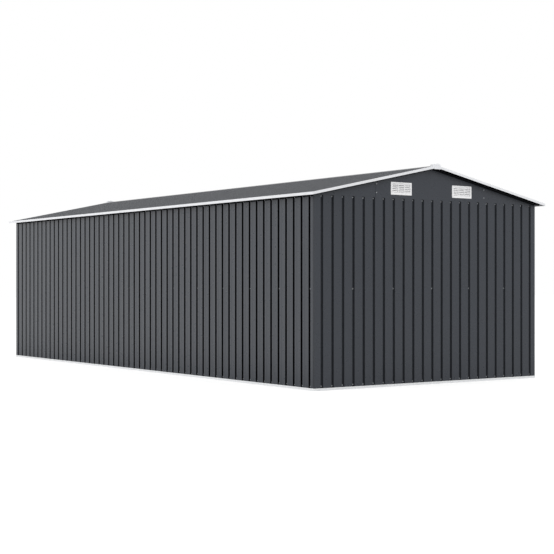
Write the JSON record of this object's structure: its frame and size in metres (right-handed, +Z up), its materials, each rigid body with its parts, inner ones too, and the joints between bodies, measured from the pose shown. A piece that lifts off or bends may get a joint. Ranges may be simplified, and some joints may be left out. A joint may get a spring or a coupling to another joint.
{
  "type": "metal storage shed",
  "caption": "Long gable-roofed garden shed of dark ribbed steel sheet with light eave and verge trims, louvred gable vents, base channels and a closed sliding double door.",
  "frame": {"origin": "middle of the shed's footprint, at the level of the ground under the base channels", "axes": "+Z up, +Y towards the rear gable, -Y towards the door gable, +X towards the long wall on the left of the picture"},
  "size_m": [2.5704, 5.8294, 1.833],
  "materials": {
    "painted_wall": "satin anthracite coating on ribbed steel sheet",
    "painted_roof": "satin anthracite coating on ribbed steel sheet",
    "painted_frame": "satin anthracite coating on folded steel",
    "white_trim": "semi-matt off-white coating on folded steel",
    "white_vent": "matt off-white moulded plastic",
    "galvanised_base": "dull light zinc coating",
    "galvanised_frame": "dull zinc coating with faint spangle",
    "handle_plastic": "matt dark moulded plastic"
  },
  "bodies": {
    "root": {"base_rail_front": "galvanised_base", "base_rail_left": "galvanised_base", "base_rail_rear": "galvanised_base", "base_rail_right": "galvanised_base", "corner_panel_front_left": "painted_wall", "corner_panel_front_right": "painted_wall", "corner_panel_rear_left": "painted_wall", "corner_panel_rear_right": "painted_wall", "door_handles": "handle_plastic", "door_header": "painted_frame", "door_jambs": "painted_frame", "door_leaf_left": "painted_wall", "door_leaf_right": "painted_wall", "door_tracks": "galvanised_frame", "eave_trim_left": "white_trim", "eave_trim_right": "white_trim", "front_gable_centre": "painted_wall", "front_gable_wings": "painted_wall", "front_vent_left": "white_vent", "front_vent_right": "white_vent", "front_verge_trims": "white_trim", "front_wall_panels": "painted_wall", "gable_braces": "galvanised_frame", "left_wall_panels_even": "painted_wall", "left_wall_panels_odd": "painted_wall", "mid_rails": "galvanised_frame", "purlins": "galvanised_frame", "rafters": "galvanised_frame", "rear_gable_centre": "painted_wall", "rear_gable_wings": "painted_wall", "rear_vent_left": "white_vent", "rear_vent_right": "white_vent", "rear_verge_trims": "white_trim", "rear_wall_panels_even": "painted_wall", "rear_wall_panels_odd": "painted_wall", "ridge_beam": "galvanised_frame", "ridge_cap": "painted_roof", "ridge_end_caps": "white_trim", "right_wall_panels_even": "painted_wall", "right_wall_panels_odd": "painted_wall", "roof_panels_left_even": "painted_roof", "roof_panels_left_odd": "painted_roof", "roof_panels_right_even": "painted_roof", "roof_panels_right_odd": "painted_roof", "roof_ties": "galvanised_frame", "top_rails": "galvanised_frame"}
  },
  "joints": []
}
